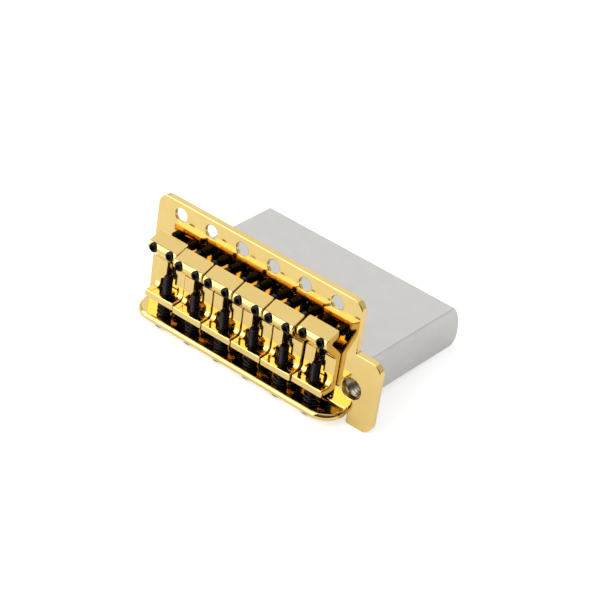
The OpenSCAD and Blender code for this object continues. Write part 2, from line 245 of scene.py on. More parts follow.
@dataclass(frozen=True)
class ScrewSizes:
    """Height and intonation screws, in millimetres."""

    height_radius: float = 1.45
    height_out: float = 0.3
    height_gap: float = 0.3
    height_chamfers: Pair = (0.3, 0.75)
    socket_width: float = 1.5
    socket_depth: float = 1.6
    socket_cone: float = 0.4
    mouth_outer: Pair = (1.05, -0.2)
    mouth_inner: Pair = (0.8, 0.14)
    tone_radius: float = 1.4
    tone_tip: float = 5.4
    tone_play: float = 0.3
    tone_chamfers: Pair = (0.0, 0.3)
    head_radius: float = 2.5
    head_length: float = 1.4
    head_gap: float = 0.35
    head_chamfer: float = 0.15
    head_overlap: float = 0.3
    recess: Recess = Recess((1.55, -0.5), (0.75, 1.0), 0.8)
    pitch: float = 0.5
    thread_depth: float = 0.27


@dataclass(frozen=True)
class SpringSizes:
    """Spring between a saddle's tab and the flange, in millimetres."""

    wire_radius: float = 0.35
    clearance: float = 0.15
    turns: float = 3.25
    closing: float = 0.6
    grip: float = 0.4


@dataclass(frozen=True)
class BlockSizes:
    """Block behind the plate, in millimetres."""

    left: float = -31.0
    right: float = 37.5
    high: float = -16.0
    low: float = -29.8
    depth: float = 47.2
    far_radius: float = 13.0
    low_edge: float = 3.0
    edge_round: float = 0.35
    claw_z: float = -25.5
    claw_radius: float = 1.35
    claw_depth: float = 9.0
    claw_pitch: float = 11.0
    claw_count: int = 5
    ball_radius: float = 2.75
    ball_seat: float = 10.0
    screw_z: float = -24.6
    screw_radius: float = 2.0
    screw_head: float = 3.7
    screw_head_length: float = 1.3
    screw_length: float = 13.0
    screw_chamfers: Pair = (0.0, 0.5)
    screw_pitch: float = 0.7
    thread_depth: float = 0.3
    recess: Recess = Recess((2.0, -1.0), (1.0, 1.2), 0.8)
    fit_gap: float = 0.05


PLATE = PlateSizes()
ARM = ArmSizes()
ROW = RowSizes()
SADDLE = SaddleSizes()
SCREW = ScrewSizes()
SPRING = SpringSizes()
BLOCK = BlockSizes()
SCREW_PLACES = (ROW.x(1.5), 0.0, ROW.x(5.5))


# Node trees and finishes


def add_node(
    tree: NodeTree, kind: str, inputs: dict[int | str, object] | None = None, **settings: object
) -> Node:
    """Adds a node of a kind to a tree, with its own settings.

    Of what goes into its inputs, a socket is linked and anything else is a value.
    """
    node = tree.nodes.new(kind)
    for name, value in settings.items():
        setattr(node, name, value)
    for key, value in (inputs or {}).items():
        if isinstance(value, NodeSocket):
            tree.links.new(value, node.inputs[key])
        else:
            node.inputs[key].default_value = value
    return node


def cleared_tree(owner: Material | bpy.types.World) -> NodeTree:
    """Gives a material or a world an empty node tree."""
    owner.use_nodes = True
    owner.node_tree.nodes.clear()
    return owner.node_tree


def math_node(tree: NodeTree, operation: str, *values: object) -> NodeSocket:
    """One step of arithmetic in a node tree."""
    return add_node(tree, "ShaderNodeMath", dict(enumerate(values)), operation=operation).outputs[0]


def linear(hex_colour: str) -> tuple[float, float, float, float]:
    """Turns an sRGB hex colour into linear red, green, blue and an alpha of 1."""
    parts = [int(hex_colour[i : i + 2], 16) / 255 for i in (1, 3, 5)]
    red, green, blue = (c / 12.92 if c <= 0.04045 else ((c + 0.055) / 1.055) ** 2.4 for c in parts)
    return red, green, blue, 1.0


@dataclass(frozen=True)
class Finish:
    """Metal finish with a mottled colour, an uneven gloss and a fine relief.

    Sizes are in millimetres on the surface. The grain may be stretched along one axis, as a
    buffing wheel or a turning tool leaves it.
    """

    name: str
    slot: Slot
    dark: str
    light: str
    mottle_mm: float
    roughness: Pair
    haze_mm: float
    grain_mm: float
    grain_depth_mm: float
    stretch: Triple = (1.0, 1.0, 1.0)
    wave_mm: float = 0.0
    wave_depth_mm: float = 0.0
    metallic: float = 1.0

    def material(self) -> Material:
        """Builds the finish's node material, or returns the one that is there already."""
        known = bpy.data.materials.get(self.name)
        if known:
            return known
        material = bpy.data.materials.new(self.name)
        tree = cleared_tree(material)
        place = add_node(tree, "ShaderNodeTexCoord").outputs["Object"]
        scaled = add_node(tree, "ShaderNodeVectorMath", {0: place, "Scale": 1 / MM}, operation="SCALE")
        per_mm = scaled.outputs[0]
        stretched = add_node(tree, "ShaderNodeVectorMath", {0: per_mm, 1: self.stretch}, operation="MULTIPLY")
        along = stretched.outputs[0]

        def noise(where: NodeSocket, size_mm: float, detail: float) -> NodeSocket:
            """Noise whose features have a size."""
            sockets = {"Vector": where, "Scale": 1 / size_mm, "Detail": detail}
            return add_node(tree, "ShaderNodeTexNoise", sockets).outputs["Fac"]

        def bumped(height: NodeSocket, depth_mm: float, **below: NodeSocket) -> NodeSocket:
            """Relief of a depth, over the relief that there is already."""
            sockets = {"Height": height, "Distance": depth_mm * MM, "Strength": 1.0, **below}
            return add_node(tree, "ShaderNodeBump", sockets).outputs["Normal"]

        colour = add_node(
            tree, "ShaderNodeMix",
            {"Factor": noise(per_mm, self.mottle_mm, 3.0), "A": linear(self.dark), "B": linear(self.light)},
            data_type="RGBA",
        )
        gloss = add_node(
            tree, "ShaderNodeMapRange",
            {
                "Value": noise(along, self.haze_mm, 4.0), "From Min": 0.3, "From Max": 0.7,
                "To Min": self.roughness[0], "To Max": self.roughness[1],
            },
        )
        relief = bumped(noise(along, self.grain_mm, 2.0), self.grain_depth_mm)
        if self.wave_mm:
            relief = bumped(noise(per_mm, self.wave_mm, 1.0), self.wave_depth_mm, Normal=relief)
        shader = add_node(
            tree, "ShaderNodeBsdfPrincipled",
            {
                "Base Color": colour.outputs["Result"], "Metallic": self.metallic,
                "Roughness": gloss.outputs["Result"], "Normal": relief,
            },
        )
        add_node(tree, "ShaderNodeOutputMaterial", {"Surface": shader.outputs[0]})
        return material


# Buffed steel under a thin layer of gold: a warm mirror with a trace of waviness
GOLD = Finish(
    "polished_gold_plating", Slot.GOLD, "#D7B970", "#E3C884", 9.0, (0.05, 0.11), 1.4, 0.5, 0.0004,
    wave_mm=6.0, wave_depth_mm=0.0015,
)
# Blasted and plated block: an even grey that spreads every reflection
NICKEL = Finish(
    "blasted_nickel_plating", Slot.BLOCK, "#C7C6C2", "#D1D0CD", 6.0, (0.36, 0.46), 0.8, 0.22, 0.006,
    metallic=0.85,
)
# Black plating on cut threads and heads: nearly black with small cool glints
BLACK = Finish(
    "black_plated_steel", Slot.BLACK, "#1A171A", "#2B2629", 1.5, (0.2, 0.34), 0.5, 0.12, 0.003,
    metallic=0.9,
)
# Oiled black spring wire, a little duller than the screws
WIRE = Finish(
    "blackened_spring_wire", Slot.BLACK, "#171517", "#2A2526", 1.2, (0.3, 0.46), 0.4, 0.1, 0.003,
    metallic=0.85,
)
# Bare turned steel: fine rings that the tool left across the axis
STEEL = Finish(
    "turned_steel", Slot.BUSH, "#8F887E", "#B5AFA6", 2.0, (0.22, 0.38), 0.3, 0.12, 0.006,
    stretch=(0.25, 3.0, 0.25),
)


# Outlines and meshes


def quarter(steps: int) -> list[float]:
    """Angles from 0 to a quarter turn in equal steps."""
    return [math.pi / 2 * k / steps for k in range(steps + 1)]


def spoke(angle: float) -> Vector:
    """A flat unit vector at an angle."""
    return Vector((math.cos(angle), math.sin(angle)))


@dataclass
class Outline:
    """Closed flat outline with the way to its left at each point."""

    points: list[Vector]
    left: list[Vector]

    @classmethod
    def rounded(cls, corners: Sequence[Triple], step: float = 9.0) -> "Outline":
        """Rounds the corners of a polygon, each a place and a radius, in steps of an angle in degrees."""
        points: list[Vector] = []
        left: list[Vector] = []
        count = len(corners)
        for i, (x, y, radius) in enumerate(corners):
            here = Vector((x, y))
            to_last = (Vector(corners[i - 1][:2]) - here).normalized()
            to_next = (Vector(corners[(i + 1) % count][:2]) - here).normalized()
            turn = -to_last.cross(to_next)
            half = math.acos(max(-1.0, min(1.0, to_last.dot(to_next)))) / 2
            centre = here + (to_last + to_next).normalized() * radius / math.sin(half)
            start = here + to_last * radius / math.tan(half) - centre
            sweep = math.pi - 2 * half
            sign = 1.0 if turn > 0 else -1.0
            steps = max(1, math.ceil(math.degrees(sweep) / step))
            for k in range(steps + 1):
                arm = start.copy()
                arm.rotate(Matrix.Rotation(sign * sweep * k / steps, 2))
                points.append(centre + arm)
                left.append(arm.normalized() * -sign)
        return cls(points, left)

    @classmethod
    def hole(cls, x: float, y: float, radius: float) -> "Outline":
        """A round hole, whose left side is the material around it."""
        spokes = [spoke(-2 * math.pi * k / SIDES) for k in range(SIDES)]
        return cls([Vector((x, y)) + way * radius for way in spokes], spokes)


Edge = Callable[[Vector], list[Pair]]


def round_edge(thickness: float, front: float, back: float) -> list[Pair]:
    """Section of a sheet's edge, rounded by a radius at its front face and one at its back.

    It gives distances into the material and depths, from the front to the back.
    """
    angles = quarter(EDGE_STEPS)
    near = [(front * (1 - math.sin(a)), front * (1 - math.cos(a))) for a in angles]
    far = [(back * (1 - math.sin(a)), thickness - back * (1 - math.cos(a))) for a in reversed(angles)]
    return near + far


def sheet_mesh(loops: Sequence[tuple[Outline, Edge]]) -> BMesh:
    """Makes a flat closed sheet, with its outlines in X and Y and its depth in Z.

    Material is to the left of each outline, and each has a section of its edge at any point.
    """
    bm = bmesh.new()
    fronts: list[list[BMVert]] = []
    backs: list[list[BMVert]] = []
    for outline, edge in loops:
        sections = [edge(p) for p in outline.points]
        rings = [
            [
                bm.verts.new((*(p + n * sections[i][k][0]), sections[i][k][1]))
                for i, (p, n) in enumerate(zip(outline.points, outline.left))
            ]
            for k in range(len(sections[0]))
        ]
        for low, high in zip(rings, rings[1:]):
            for i in range(len(low)):
                bm.faces.new((low[i - 1], low[i], high[i], high[i - 1]))
        fronts.append(rings[0])
        backs.append(rings[-1])
    for rings in (fronts, backs):
        flat = [vert for ring in rings for vert in ring]
        for a, b, c in tessellate_polygon([[v.co.to_2d().to_3d() for v in ring] for ring in rings]):
            if len({a, b, c}) == 3:
                bm.faces.new((flat[a], flat[b], flat[c]))
    return bm


def to_mesh(bm: BMesh, name: str) -> Mesh:
    """Turns a closed bmesh into a mesh whose faces look outward, and frees it."""
    bmesh.ops.recalc_face_normals(bm, faces=bm.faces)
    if bm.calc_volume(signed=True) < 0:
        bmesh.ops.reverse_faces(bm, faces=bm.faces)
    mesh = bpy.data.meshes.new(name)
    bm.to_mesh(mesh)
    bm.free()
    return mesh


def prism(outline: Sequence[Vector], axis: int, low: float, high: float) -> Mesh:
    """Extrudes an outline, in the two other axes, from low to high along an axis."""
    bm = bmesh.new()
    rings = []
    for level in (low, high):
        ring = []
        for p in outline:
            place = [p[0], p[1]]
            place.insert(axis, level)
            ring.append(bm.verts.new(place))
        rings.append(ring)
    for i in range(len(outline)):
        bm.faces.new((rings[0][i - 1], rings[0][i], rings[1][i], rings[1][i - 1]))
    bm.faces.new(rings[0])
    bm.faces.new(list(reversed(rings[1])))
    return to_mesh(bm, "prism")


def lathe(section: Sequence[Pair], count: int = SIDES) -> Mesh:
    """Turns a section about Z: radii and heights that start and end on the axis."""
    bm = bmesh.new()
    rings = []
    for radius, height in section:
        if radius == 0:
            rings.append([bm.verts.new((0, 0, height))] * count)
        else:
            angles = [2 * math.pi * k / count for k in range(count)]
            rings.append([bm.verts.new((radius * math.cos(a), radius * math.sin(a), height)) for a in angles])
    for low, high in zip(rings, rings[1:]):
        for i in range(count):
            corners = list(dict.fromkeys((low[i - 1], low[i], high[i], high[i - 1])))
            bm.faces.new(corners)
    return to_mesh(bm, "turned")


def slice_at(bm: BMesh, axis: int, levels: Iterable[float]) -> None:
    """Cuts the faces of a bmesh at levels of an axis, so that it can bend there."""
    along = Vector([float(k == axis) for k in range(3)])
    for level in levels:
        everything = bm.verts[:] + bm.edges[:] + bm.faces[:]
        bmesh.ops.bisect_plane(bm, geom=everything, plane_co=along * level, plane_no=along, dist=1e-4)


def placed(name: str, data: bpy.types.ID) -> Object:
    """Makes an object of its data and puts it in the scene."""
    obj = bpy.data.objects.new(name, data)
    bpy.context.scene.collection.objects.link(obj)
    return obj


def moved(mesh: Mesh, matrix: Matrix) -> Mesh:
    """Copies a mesh to another place."""
    copy = mesh.copy()
    copy.transform(matrix)
    return copy


def cone(low: Pair, high: Pair, count: int = SIDES) -> Mesh:
    """A solid along Z that tapers evenly between two ends, each a radius and a height."""
    return lathe([(0, low[1]), low, high, (0, high[1])], count)


def rod_y(x: float, z: float, radius: float, start: float, end: float, count: int = SIDES) -> Mesh:
    """A plain round bar along Y, as a drill leaves its hole."""
    return moved(cone((radius, start), (radius, end), count), Matrix.Translation((x, 0, z)) @ ALONG_Y)


def joined(meshes: Iterable[Mesh]) -> Mesh:
    """Puts meshes together in one, as they are."""
    bm = bmesh.new()
    for mesh in meshes:
        bm.from_mesh(mesh)
    return to_mesh(bm, "joined")


def cross_head_screw(head: Mesh, recess: Recess, bar: Mesh, start: float) -> Mesh:
    """Cuts the recess into a head, and joins the head and a bar that starts inside it."""
    (wide, high), (narrow, low) = recess.top, recess.foot
    corners = [Vector(place) for place in ((-wide, high), (wide, high), (narrow, low), (-narrow, low))]
    wing = prism(corners, 1, -recess.width / 2, recess.width / 2)
    wings = [moved(wing, Matrix.Rotation(turn, 4, "Z")) for turn in (0.0, math.pi / 2)]
    return joined([worked(head, cut_by(wings)), moved(bar, Matrix.Translation((0, 0, start)))])


def bevel_of(width: float) -> Callable[[Object], None]:
    """A step that rounds the sharp edges of an object to a width."""

    def add(obj: Object) -> None:
        """Adds the modifier."""
        bevel = obj.modifiers.new("edges", "BEVEL")
        bevel.width = width
        bevel.segments = 3
        bevel.limit_method = "ANGLE"
        bevel.angle_limit = math.radians(35)
        bevel.miter_outer = "MITER_ARC"

    return add


def cut_by(cutters: Sequence[Mesh]) -> Callable[[Object], None]:
    """A step that takes closed meshes out of an object."""

    def add(obj: Object) -> None:
        """Adds one modifier for each mesh that is taken out."""
        for mesh in cutters:
            cut = obj.modifiers.new("cut", "BOOLEAN")
            cut.operation = "DIFFERENCE"
            cut.solver = "EXACT"
            cut.object = placed("cutter", mesh)

    return add


def worked(mesh: Mesh, *steps: Callable[[Object], None]) -> Mesh:
    """Runs steps on a mesh that each add modifiers, and gives the plain mesh that they leave."""
    before = set(bpy.data.objects)
    obj = placed("work", mesh)
    for step in steps:
        step(obj)
    result = bpy.data.meshes.new_from_object(obj.evaluated_get(bpy.context.evaluated_depsgraph_get()))
    for extra in set(bpy.data.objects) - before:
        bpy.data.objects.remove(extra)
    return result


def even_normals(obj: Object) -> None:
    """Keeps flat faces flat to the eye where they run into rounded edges."""
    normals = obj.modifiers.new("normals", "WEIGHTED_NORMAL")
    normals.keep_sharp = True
    normals.weight = 100


def smooth(mesh: Mesh, angle: float) -> Mesh:
    """Shades a mesh smooth, with creases where its faces turn by more than an angle in degrees."""
    bm = bmesh.new()
    bm.from_mesh(mesh)
    bmesh.ops.remove_doubles(bm, verts=bm.verts, dist=1e-5)
    bmesh.ops.dissolve_degenerate(bm, edges=bm.edges, dist=1e-5)
    bm.to_mesh(mesh)
    bm.free()
    mesh.shade_smooth()
    mesh.set_sharp_from_angle(angle=math.radians(angle))
    return worked(mesh, even_normals)


def grown(tree: NodeTree, values: dict[str, object]) -> Mesh:
    """Runs a geometry tree with values for its named inputs, and gives its plain mesh."""

    def add(obj: Object) -> None:
        """Adds the tree's modifier with its inputs set."""
        modifier = obj.modifiers.new("grow", "NODES")
        modifier.node_group = tree
        for item in tree.interface.items_tree:
            if item.in_out == "INPUT" and item.name in values:
                modifier[item.identifier] = values[item.name]

    return worked(bpy.data.meshes.new("seed"), add)


def geometry_tree(name: str, *floats: str, **others: str) -> tuple[NodeTree, Sequence[NodeSocket]]:
    """Starts a geometry tree with float inputs and others of named types, and gives it and its inputs."""
    tree = bpy.data.node_groups.new(name, "GeometryNodeTree")
    for label, kind in {**dict.fromkeys(floats, "Float"), **others}.items():
        tree.interface.new_socket(label, in_out="INPUT", socket_type=f"NodeSocket{kind}")
    tree.interface.new_socket("Geometry", in_out="OUTPUT", socket_type="NodeSocketGeometry")
    return tree, add_node(tree, "NodeGroupInput").outputs


def place_sockets(tree: NodeTree) -> tuple[NodeSocket, NodeSocket, NodeSocket]:
    """X, Y and Z of each point in a geometry tree."""
    place = add_node(tree, "GeometryNodeInputPosition").outputs[0]
    return tuple(add_node(tree, "ShaderNodeSeparateXYZ", {0: place}).outputs)


def set_place(tree: NodeTree, geometry: NodeSocket, xyz: Sequence[NodeSocket]) -> NodeSocket:
    """Moves each point of a geometry to new X, Y and Z."""
    place = add_node(tree, "ShaderNodeCombineXYZ", dict(zip("XYZ", xyz))).outputs[0]
    return add_node(tree, "GeometryNodeSetPosition", {"Geometry": geometry, "Position": place}).outputs[0]


def end_tree(tree: NodeTree, geometry: NodeSocket) -> None:
    """Ends a geometry tree in real, smooth geometry."""
    even = add_node(tree, "GeometryNodeSetShadeSmooth", {"Geometry": geometry})
    real = add_node(tree, "GeometryNodeRealizeInstances", {"Geometry": even.outputs[0]})
    add_node(tree, "NodeGroupOutput", {0: real.outputs[0]})


@cache
def thread_tree() -> NodeTree:
    """Builds the tree: a cylinder whose wall follows a thread's flanks and its chamfered ends."""
    floats = ("Radius", "Length", "Pitch", "Depth", "Low Chamfer", "High Chamfer")
    tree, size = geometry_tree("cut_thread", *floats, Rows="Int")
    sockets = {
        "Vertices": 24, "Side Segments": size["Rows"], "Radius": size["Radius"], "Depth": size["Length"],
    }
    bar = add_node(tree, "GeometryNodeMeshCylinder", sockets, fill_type="TRIANGLE_FAN")
    x, y, z = place_sockets(tree)
    calc = partial(math_node, tree)
    height = calc("ADD", z, calc("DIVIDE", size["Length"], 2.0))
    turn = calc("DIVIDE", calc("ARCTAN2", y, x), 2 * math.pi)
    phase = calc("SUBTRACT", calc("DIVIDE", height, size["Pitch"]), turn)
    flank = calc("MULTIPLY", calc("PINGPONG", phase, 0.5), 2.0)
    threaded = calc("SUBTRACT", size["Radius"], calc("MULTIPLY", flank, size["Depth"]))
    from_low = calc("ADD", height, calc("SUBTRACT", size["Radius"], size["Low Chamfer"]))
    wall_high = calc("SUBTRACT", size["Radius"], size["High Chamfer"])
    from_high = calc("ADD", calc("SUBTRACT", size["Length"], height), wall_high)
    radius = calc("MINIMUM", calc("MINIMUM", threaded, from_low), from_high)
    across = calc("SQRT", calc("ADD", calc("MULTIPLY", x, x), calc("MULTIPLY", y, y)))
    share = calc("DIVIDE", radius, calc("MAXIMUM", across, 1e-6))
    new_x, new_y = (calc("MULTIPLY", axis, share) for axis in (x, y))
    end_tree(tree, set_place(tree, bar.outputs["Mesh"], (new_x, new_y, height)))
    return tree


def thread(radius: float, length: float, pitch: float, depth: float, chamfers: Pair) -> Mesh:
    """Cuts a threaded bar along Z, from 0 to its length, with a chamfer at each end."""
    return grown(
        thread_tree(),
        {
            "Radius": radius, "Length": length, "Pitch": pitch, "Depth": depth,
            "Rows": math.ceil(length / pitch * THREAD_ROWS),
            "Low Chamfer": chamfers[0], "High Chamfer": chamfers[1],
        },
    )


@dataclass
class Piece:
    """A finished mesh in its place, with the node that it stands for.

    It rides on the body of the node's own name, or on the one given. A piece with a bend is left
    in the scene's frame on no body; the body and the two places of its bend are not read.
    """

    name: str
    mesh: Mesh
    finish: Finish
    node: str
    matrix: Matrix = field(default_factory=Matrix)
    bend: tuple[str, Vector, Vector] | None = None
    body: str | None = None

    def put(self) -> None:
        """Places the piece in the scene, in metres, on its body, or on no body if it has a bend."""
        body = self.body or self.node
        mesh = moved(self.mesh, Matrix.Scale(MM, 4) @ self.matrix)
        mesh.materials.clear()
        mesh.materials.append(self.finish.material())
        obj = placed(self.name, mesh)
        if self.bend:
            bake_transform(obj)
        else:
            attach(obj, body)
        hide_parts(self.node)
        LOG.info("%s: %d faces on %s", self.name, len(mesh.polygons), body)


# Plate


def developed(distance: float) -> float:
    """Place on the flat sheet of a point of the flange at a distance in front of the plate."""
    bend = math.pi / 2 * PLATE.bend_radius
    return PLATE.flange_top + PLATE.bend_radius - bend - (distance - PLATE.bend_radius)


def plate_edge(place: Vector) -> list[Pair]:
    """Section of the plate's own edge, rounder along the flange."""
    s = PLATE
    on_flange = place.x < s.half_width + s.relief_width / 2
    share = min(1.0, max(0.0, (s.flange_top - place.y) / s.round_fade)) if on_flange else 0.0
    share *= share * (3 - 2 * share)
    radius = s.edge_round + share * (s.flange_round - s.edge_round)
    return round_edge(s.thickness, radius, radius)


def plate_loops() -> list[tuple[Outline, Edge]]:
    """Outline and holes of the flat sheet, before it is bent."""
    s = PLATE
    t = s.thickness
    low = developed(s.flange_depth)
    top = s.flange_top + s.bend_radius
    inner = s.half_width + s.relief_width
    outline = Outline.rounded(
        [
            (-s.half_width, low, s.flange_radius), (s.half_width, low, s.flange_radius),
            (s.half_width, top, s.relief_round), (inner, top, s.relief_round),
            (inner, s.tab_bottom, s.relief_foot), (s.tab_side, s.tab_bottom, s.tab_radius),
            (s.tab_side, s.tab_top, s.tab_radius), (s.half_width, s.tab_top, s.notch_fillet),
            (s.half_width, s.top, s.corner_radius), (-s.half_width, s.top, s.corner_radius),
        ]
    )
    loops: list[tuple[Outline, Edge]] = [(outline, plate_edge)]

    def hole(x: float, y: float, radius: float, section: list[Pair]) -> None:
        """Adds a round hole whose wall has a section."""
        loops.append((Outline.hole(x, y, radius), lambda place: section))

    rounded_front = round_edge(t, s.pivot_round, 0.0)[: EDGE_STEPS + 1]
    pivot = rounded_front + [(0.0, t - s.pivot_bevel), (s.pivot_bevel, t)]
    tone_radius = SCREW.tone_radius + SCREW.tone_play
    for n in range(1, ROW.strings + 1):
        hole(ROW.from_middle(n) * s.pivot_pitch, 0, s.pivot_radius, pivot)
        hole(ROW.x(n), ROW.string_z, ROW.string_radius, round_edge(t, *s.string_rounds))
        hole(ROW.x(n), developed(ROW.axis_height), tone_radius, round_edge(t, *s.tone_rounds))
    sink = BLOCK.screw_head - BLOCK.screw_radius
    for x in SCREW_PLACES:
        hole(x, BLOCK.screw_z, BLOCK.screw_radius + BLOCK.fit_gap, [(sink, 0.0), (0.0, sink), (0.0, t)])
    hole(ARM.x, ARM.z, ARM.hole_radius, round_edge(t, *s.arm_rounds))
    return loops


def bent(place: Vector) -> Vector:
    """Place of a point of the flat sheet after the flange is bent forward."""
    s = PLATE
    top = s.flange_top + s.bend_radius
    half_relief = s.relief_width / 2
    share = min(1.0, max(0.0, (s.half_width + half_relief - place.x) / half_relief))
    drop = (top - place.y) * share
    if drop <= 0:
        return Vector((place.x, place.z, place.y))
    bend = math.pi / 2 * s.bend_radius
    if drop >= bend:
        return Vector((place.x, -s.bend_radius - (drop - bend), s.flange_top - place.z))
    angle = drop / s.bend_radius
    reach = s.bend_radius + place.z
    rest = (1 - share) * (top - place.y)
    return Vector((place.x, -s.bend_radius + reach * math.cos(angle), top - reach * math.sin(angle) - rest))


def base_plate() -> Piece:
    """Presses the plate from a flat sheet, with its rear flange, arm tab and holes."""
    bm = sheet_mesh(plate_loops())
    top = PLATE.flange_top + PLATE.bend_radius
    slice_at(bm, 1, [top - PLATE.bend_radius * angle for angle in quarter(8)])
    for vert in bm.verts:
        vert.co = bent(vert.co)
    mesh = smooth(to_mesh(bm, "base_plate"), angle=40)
    return Piece("gold_base_plate", mesh, GOLD, "base_plate", body=FIXED_BODY)


# Saddles, all six alike


def saddle_corners() -> dict[str, Pair]:
    """Corners of the bent sheet's section: distance above the screws' axis, and height."""
    s = SADDLE
    nose, riser = math.radians(s.nose_angle), math.radians(s.riser_angle)
    radius = s.crown_radius
    face = s.underside + s.sheet
    centre = (s.screw_hole + s.crown_wall - radius * math.cos(nose), s.crown_height - radius)
    nose_top = (centre[0] + radius * math.cos(nose), centre[1] + radius * math.sin(nose))
    riser_top = (centre[0] - radius * math.cos(riser), centre[1] + radius * math.sin(riser))
    lip = (nose_top[0] + (nose_top[1] - s.lip_height) * math.tan(nose), s.lip_height)
    lip_in = (lip[0] - s.sheet * math.cos(nose), lip[1] - s.sheet * math.sin(nose))
    crease = (riser_top[0] - (riser_top[1] - face) * math.tan(riser), face)
    riser_in = (crease[0] + s.sheet * math.cos(riser), crease[1] - s.sheet * math.sin(riser))
    foot = (riser_in[0] - (riser_in[1] - s.underside) * math.tan(riser), s.underside)

    def meet(a: Pair, b: Pair) -> Pair:
        """Where the slope of the nose through a meets the slope of the riser through b."""
        slopes = math.tan(nose) + math.tan(riser)
        height = (a[0] - b[0] + a[1] * math.tan(nose) + b[1] * math.tan(riser)) / slopes
        return a[0] - (height - a[1]) * math.tan(nose), height

    return {
        "lip": lip, "lip_in": lip_in, "crease": crease, "foot": foot,
        "crown": meet(lip, crease), "apex": meet(lip_in, riser_in),
    }


def saddle_section() -> Outline:
    """Section of the bent sheet in Y and Z."""
    s = SADDLE
    c = saddle_corners()
    face = s.underside + s.sheet
    tab_in = s.back + s.sheet
    corners = [
        ((s.back, s.tab_height), s.tab_radius), ((s.back, s.underside), s.heel_radius),
        (c["foot"], s.foot_radius), (c["apex"], s.apex_radius),
        (c["lip_in"], s.lip_in_radius), (c["lip"], s.lip_radius),
        (c["crown"], s.crown_radius), (c["crease"], s.crease_radius),
        ((tab_in, face), s.tab_bend_radius), ((tab_in, s.tab_height), s.tab_in_radius),
    ]
    return Outline.rounded([(-p[1], p[0] + ROW.break_z, radius) for p, radius in corners], step=12)


def saddle_blank() -> Mesh:
    """Bent sheet with rounded sides and rounded corners at its lip."""
    s = SADDLE
    edge = round_edge(s.width, s.side_round, s.side_round)
    bm = sheet_mesh([(saddle_section(), lambda place: edge)])
    low = -saddle_corners()["lip_in"][1]
    slice_at(bm, 0, [low - s.lip_corner * (1 - math.cos(angle)) for angle in quarter(6)])
    for vert in bm.verts:
        y, z, x = vert.co
        x -= s.width / 2
        reach = s.lip_corner - (low - y)
        if z > ROW.break_z and reach > 0:
            reach = min(reach, s.lip_corner)
            inset = s.lip_corner - math.sqrt(s.lip_corner**2 - reach**2)
            x -= math.copysign(min(inset, abs(x)), x) * min(1.0, abs(x) / (s.width / 2 - s.lip_corner))
        vert.co = (x, y, z)
    bmesh.ops.triangulate(bm, faces=bm.faces)
    return to_mesh(bm, "saddle")


def saddle_slot() -> Mesh:
    """What the bottle-shaped slot is cut with, flared at the saddle's face."""
    s = SADDLE
    low = s.back + s.sheet + ROW.break_z - s.slot_overlap
    wide_top = low + s.slot_overlap + s.wide_length
    neck_top = saddle_corners()["crease"][0] + ROW.break_z + s.slot_up
    neck, wide = s.neck_width / 2, s.wide_width / 2
    neck_round = neck * s.neck_fullness
    outline = Outline.rounded(
        [
            (-wide, low, s.slot_corner), (wide, low, s.slot_corner),
            (wide, wide_top, s.slot_shoulder), (neck, wide_top, s.slot_throat),
            (neck, neck_top, neck_round), (-neck, neck_top, neck_round),
            (-neck, wide_top, s.slot_throat), (-wide, wide_top, s.slot_shoulder),
        ]
    )
    f = s.slot_flare
    top = s.crown_height
    deep = top - s.underside - s.sheet
    edge = [
        (-f, 0.0), (-f, deep - HAIR), (-f / 3, deep + f * 0.6), (0.0, deep + 2 * f), (0.0, top + CLEAR / 2),
    ]
    bm = sheet_mesh([(outline, lambda place: edge)])
    for vert in bm.verts:
        x, z, depth = vert.co
        vert.co = Vector((x, depth - top, max(z, low)))
    return to_mesh(bm, "slot")


def saddle_mesh() -> Mesh:
    """Bends, bores and slots one saddle at the middle of the row."""
    s = SADDLE
    bore = cone((s.tab_hole, s.tab_bore[0]), (s.tab_hole, s.tab_bore[1]), 40)
    tab_hole = moved(bore, Matrix.Translation((0, -ROW.axis_height, 0)))
    screw_holes = [
        rod_y(side.value * s.screw_pitch / 2, ROW.break_z, s.screw_hole, -s.crown_height - CLEAR, 0)
        for side in Side
    ]
    slot_and_holes = joined([saddle_slot(), *screw_holes])
    return smooth(worked(saddle_blank(), cut_by([tab_hole, slot_and_holes])), angle=34)


# Screws and springs of a saddle


def height_screw(number: int) -> Mesh:
    """Cuts the socket grub screw that stands the saddle of a string on the plate, its socket at 0."""
    s = SCREW
    tilt = ROW.tilt(number)
    lever = ROW.break_z - ROW.hinge_z
    rise = lever * math.sin(tilt) + (ROW.axis_height - s.height_gap) * (1 - math.cos(tilt))
    length = SADDLE.crown_height + s.height_out - s.height_gap + rise / math.cos(tilt)
    bar = thread(s.height_radius, length, s.pitch, s.thread_depth, s.height_chamfers)
    corner = s.socket_width / math.sqrt(3)
    tip = s.socket_depth + s.socket_cone
    socket = lathe([(0, -CLEAR), (corner, -CLEAR), (corner, s.socket_depth), (0, tip)], 6)
    return smooth(worked(bar, cut_by([socket, cone(s.mouth_outer, s.mouth_inner, 24)])), angle=50)


def intonation_screw() -> Mesh:
    """Cuts the cross-head screw that sets a saddle's distance from the flange."""
    s = SCREW
    head_top = PLATE.flange_top - PLATE.thickness - s.head_gap
    tip = SADDLE.back + ROW.break_z + SADDLE.sheet + s.tone_tip
    dome = s.head_length / 2
    arc = [(s.head_radius - dome + dome * math.sin(a), dome - dome * math.cos(a)) for a in quarter(8)]
    rim = [(s.head_radius, s.head_length - s.head_chamfer), (s.head_radius - s.head_chamfer, s.head_length)]
    head = lathe([(0, 0), *arc, *rim, (0, s.head_length)])
    length = tip - head_top + s.head_overlap
    bar = thread(s.tone_radius, length, s.pitch, s.thread_depth, s.tone_chamfers)
    whole = cross_head_screw(head, s.recess, bar, s.head_length - s.head_overlap)
    foot = head_top - s.head_length
    return smooth(moved(whole, Matrix.Translation((0, -ROW.axis_height, foot))), angle=40)


